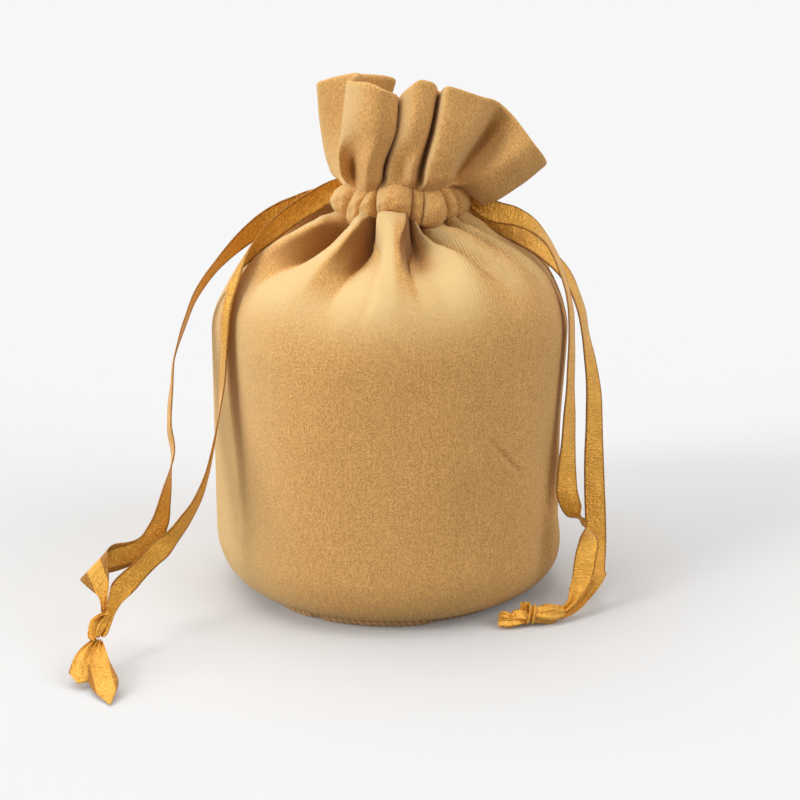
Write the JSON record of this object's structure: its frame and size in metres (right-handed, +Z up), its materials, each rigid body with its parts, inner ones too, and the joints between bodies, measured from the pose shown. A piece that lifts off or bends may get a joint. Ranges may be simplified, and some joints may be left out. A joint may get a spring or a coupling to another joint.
{
  "type": "drawstring dice bag",
  "caption": "Round-based velvet pouch with a gathered neck, a ruffled header and knotted satin ribbons that draw the neck closed; holds dice and small game pieces.",
  "frame": {"origin": "centre of the round base, on the surface the bag stands on", "axes": "+Z up along the bag's axis; -Y to the front; +X to the side the ruffle leans to"},
  "size_m": [0.1543, 0.1499, 0.1548],
  "materials": {
    "velvet": "tan velour with a short nap",
    "base_strip": "brown ribbed seam strip",
    "thread": "matt sewing thread",
    "satin": "gold satin ribbon with a soft shine"
  },
  "bodies": {
    "bag": {"base_panel": "velvet", "base_seam_allowance": "base_strip", "base_stitching": "thread", "front_panel": "velvet", "back_panel": "velvet", "left_side_stitching": "thread", "right_side_stitching": "thread", "left_loop": "satin", "right_loop": "satin"},
    "front_neck": {"front_casing": "velvet", "front_facing": "velvet", "front_ruffle": "velvet", "front_lower_stitching": "thread", "front_upper_stitching": "thread"},
    "back_neck": {"back_casing": "velvet", "back_facing": "velvet", "back_ruffle": "velvet", "back_lower_stitching": "thread", "back_upper_stitching": "thread"},
    "left_drawstring": {"left_front_strand": "satin", "left_back_strand": "satin", "left_knot": "satin", "left_front_tail": "satin", "left_back_tail": "satin"},
    "right_drawstring": {"right_front_strand": "satin", "right_back_strand": "satin", "right_knot": "satin", "right_front_tail": "satin", "right_back_tail": "satin"}
  },
  "joints": [
    {"name": "left_drawstring_pull", "type": "slide", "parent": "bag", "child": "left_drawstring", "axis": [-1, 0, 0], "range_m": [0, 0.012], "deforming": ["left_loop", "right_loop"]},
    {"name": "right_drawstring_pull", "type": "slide", "parent": "bag", "child": "right_drawstring", "axis": [1, 0, 0], "range_m": [0, 0.012]},
    {"name": "front_neck_draw", "type": "slide", "parent": "bag", "child": "front_neck", "axis": [0, 1, 0], "range_m": [0, 0.0039]},
    {"name": "back_neck_draw", "type": "slide", "parent": "bag", "child": "back_neck", "axis": [0, -1, 0], "range_m": [0, 0.0039]}
  ],
  "couplings": [
    {"joint": "right_drawstring_pull", "follows": "left_drawstring_pull", "ratio": 1},
    {"joint": "front_neck_draw", "follows": "left_drawstring_pull", "ratio": 0.3183},
    {"joint": "back_neck_draw", "follows": "left_drawstring_pull", "ratio": 0.3183}
  ]
}
